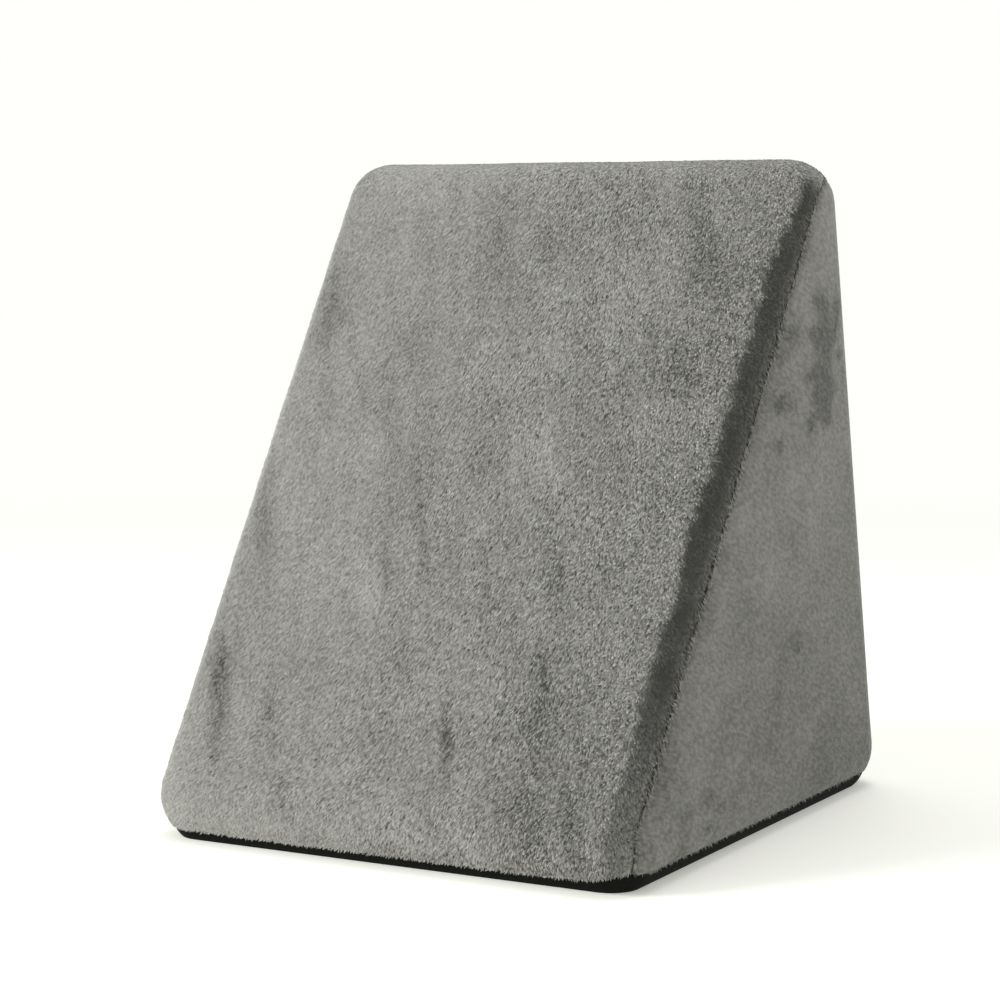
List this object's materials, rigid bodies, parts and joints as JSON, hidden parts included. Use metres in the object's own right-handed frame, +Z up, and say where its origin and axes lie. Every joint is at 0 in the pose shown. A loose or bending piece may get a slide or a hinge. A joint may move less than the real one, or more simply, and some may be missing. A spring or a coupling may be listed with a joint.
{
  "type": "wedge pillow",
  "caption": "Upright filled wedge pillow with a long plush slope, smooth velour side panels sewn in, and a flat black cloth base.",
  "frame": {"origin": "middle of the footprint, on the surface that the pillow stands on", "axes": "+Z up along the height; +X to the right across the width; the slope faces -Y and the steep back faces +Y"},
  "size_m": [0.4126, 0.46, 0.496],
  "materials": {
    "main_plush": "short crushed plush pile, mid grey, matt with a soft sheen at grazing angles",
    "side_velour": "smooth short-pile velour, warm grey, with darker patches where the nap is turned",
    "base_cloth": "black non-slip cloth, matt"
  },
  "bodies": {
    "root": {"cushion_body": "main_plush", "side_panel_left": "side_velour", "side_panel_right": "side_velour", "base_panel": "base_cloth"}
  },
  "joints": []
}
